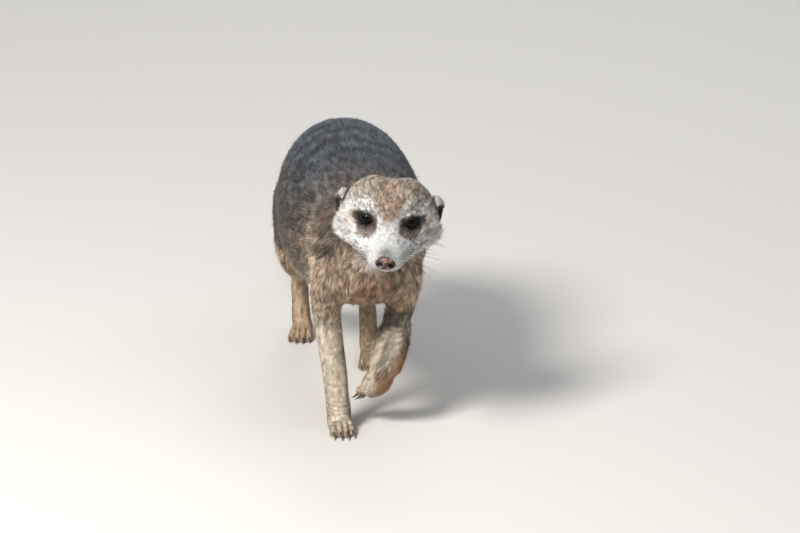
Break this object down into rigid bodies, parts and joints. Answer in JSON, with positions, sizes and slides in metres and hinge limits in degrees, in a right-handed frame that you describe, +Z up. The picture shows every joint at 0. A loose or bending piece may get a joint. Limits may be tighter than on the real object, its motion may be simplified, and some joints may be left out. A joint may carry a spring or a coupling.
{
  "type": "meerkat",
  "caption": "Life-size meerkat model, walking with one forepaw lifted and its tail trailing on the floor.",
  "frame": {"origin": "middle of the bounding box on the floor, under the animal", "axes": "+Z up, -Y the way the animal walks, +Y along the body to the tail, +X its left side"},
  "size_m": [0.0932, 0.443, 0.1658],
  "materials": {
    "body_coat": "grizzled tan and grey fur",
    "face_coat": "short pale fur with dark eye patches",
    "leg_coat": "short buff fur",
    "tail_coat": "short tawny fur",
    "tail_tip_coat": "short dark fur",
    "ear_skin": "thin dark skin with short hair",
    "eye": "wet gloss",
    "nose_leather": "damp bare skin"
  },
  "bodies": {
    "root": {"ear_left": "ear_skin", "ear_right": "ear_skin", "eye_left": "eye", "eye_right": "eye", "foreleg_left_lower": "leg_coat", "foreleg_left_upper": "leg_coat", "foreleg_right_lower": "leg_coat", "foreleg_right_upper": "leg_coat", "forepaw_left": "leg_coat", "forepaw_right": "leg_coat", "head": "face_coat", "hindfoot_left": "leg_coat", "hindfoot_right": "leg_coat", "hindleg_left_shank": "leg_coat", "hindleg_left_thigh": "leg_coat", "hindleg_right_shank": "leg_coat", "hindleg_right_thigh": "leg_coat", "neck": "body_coat", "nose": "nose_leather", "tail_base": "tail_coat", "tail_middle": "tail_coat", "tail_tip": "tail_tip_coat", "trunk": "body_coat"}
  },
  "joints": []
}
